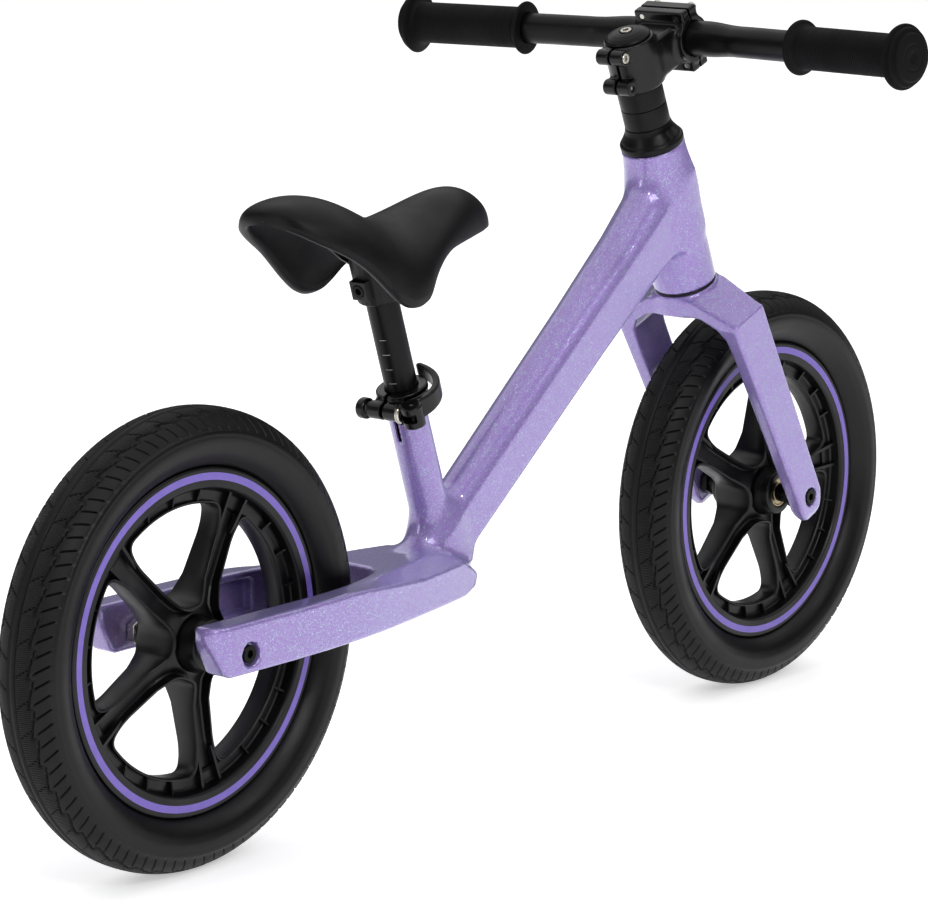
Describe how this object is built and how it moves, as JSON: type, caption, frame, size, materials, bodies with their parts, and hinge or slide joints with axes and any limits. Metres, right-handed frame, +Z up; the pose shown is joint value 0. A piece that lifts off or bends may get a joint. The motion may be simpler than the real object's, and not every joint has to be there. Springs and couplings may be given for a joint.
{
  "type": "balance bike",
  "caption": "Child's balance bike: cast frame and fork, twelve inch moulded wheels, turning fork with handlebar and grips, and a saddle on a quick-release sliding post.",
  "frame": {"origin": "on the ground, midway between the two wheel axles", "axes": "+X forward, +Y to the rider's left, +Z up"},
  "size_m": [0.927, 0.4512, 0.5243],
  "materials": {
    "lilac_paint": "gloss pearl",
    "tyre_rubber": "satin",
    "black_plastic": "satin",
    "grip_rubber": "matte",
    "saddle_skin": "grained",
    "black_anodised": "satin",
    "black_steel": "black coated",
    "bright_steel": "bright"
  },
  "bodies": {
    "frame": {"frame": "lilac_paint", "lower_bearing": "bright_steel", "upper_bearing": "bright_steel", "rear_axle": "black_steel", "rear_axle_bolt_left": "black_steel", "rear_axle_bolt_right": "black_steel", "rear_spacer_left": "bright_steel", "rear_spacer_right": "bright_steel", "seat_collar": "black_anodised", "qr_skewer": "black_steel", "qr_pivot_pin": "bright_steel", "cam_washer": "bright_steel"},
    "steering": {"fork": "lilac_paint", "crown_seal": "black_plastic", "steerer_tube": "black_steel", "bearing_cover": "black_anodised", "spacer_lower": "black_anodised", "spacer_upper": "black_anodised", "stem": "black_anodised", "faceplate": "black_anodised", "lower_pinch_bolt": "bright_steel", "upper_pinch_bolt": "bright_steel", "faceplate_bolt_1": "bright_steel", "faceplate_bolt_2": "bright_steel", "faceplate_bolt_3": "bright_steel", "faceplate_bolt_4": "bright_steel", "top_cap": "black_anodised", "top_cap_bolt": "bright_steel", "steerer_anchor": "bright_steel", "handlebar": "black_anodised", "grip_left": "grip_rubber", "grip_right": "grip_rubber", "front_axle": "black_steel", "front_axle_bolt_left": "black_steel", "front_axle_bolt_right": "black_steel", "front_spacer_left": "bright_steel", "front_spacer_right": "bright_steel"},
    "front_wheel": {"front_tyre": "tyre_rubber", "front_rim": "black_plastic", "front_bearing_left": "bright_steel", "front_bearing_right": "bright_steel"},
    "rear_wheel": {"rear_tyre": "tyre_rubber", "rear_rim": "black_plastic", "rear_bearing_left": "bright_steel", "rear_bearing_right": "bright_steel"},
    "saddle": {"seatpost": "black_anodised", "saddle_base": "black_plastic", "saddle_pad": "saddle_skin", "saddle_bolt": "black_steel", "saddle_nut": "black_steel"},
    "quick_release_lever": {"qr_lever": "black_anodised"},
    "thumb_nut": {"qr_nut": "black_anodised"}
  },
  "joints": [
    {"name": "steering", "type": "hinge", "parent": "frame", "child": "steering", "pos_m": [0.20075, 0, 0.37408], "axis": [-0.3746, 0, 0.9272], "range_deg": [-75, 75]},
    {"name": "front_wheel_spin", "type": "hinge", "parent": "steering", "child": "front_wheel", "pos_m": [0.3135, 0, 0.15], "axis": [0, 1, 0], "continuous": true},
    {"name": "rear_wheel_spin", "type": "hinge", "parent": "frame", "child": "rear_wheel", "pos_m": [-0.3135, 0, 0.15], "axis": [0, 1, 0], "continuous": true},
    {"name": "saddle_height", "type": "slide", "parent": "frame", "child": "saddle", "axis": [-0.314, 0, 0.9494], "range_m": [-0.06, 0.008]},
    {"name": "lever_open", "type": "hinge", "parent": "frame", "child": "quick_release_lever", "pos_m": [-0.1139, -0.0235, 0.26914], "axis": [0.314, 0, -0.9494], "range_deg": [0, 120]},
    {"name": "nut_turn", "type": "hinge", "parent": "frame", "child": "thumb_nut", "pos_m": [-0.1139, 0.017, 0.26914], "axis": [0, 1, 0], "continuous": true}
  ]
}
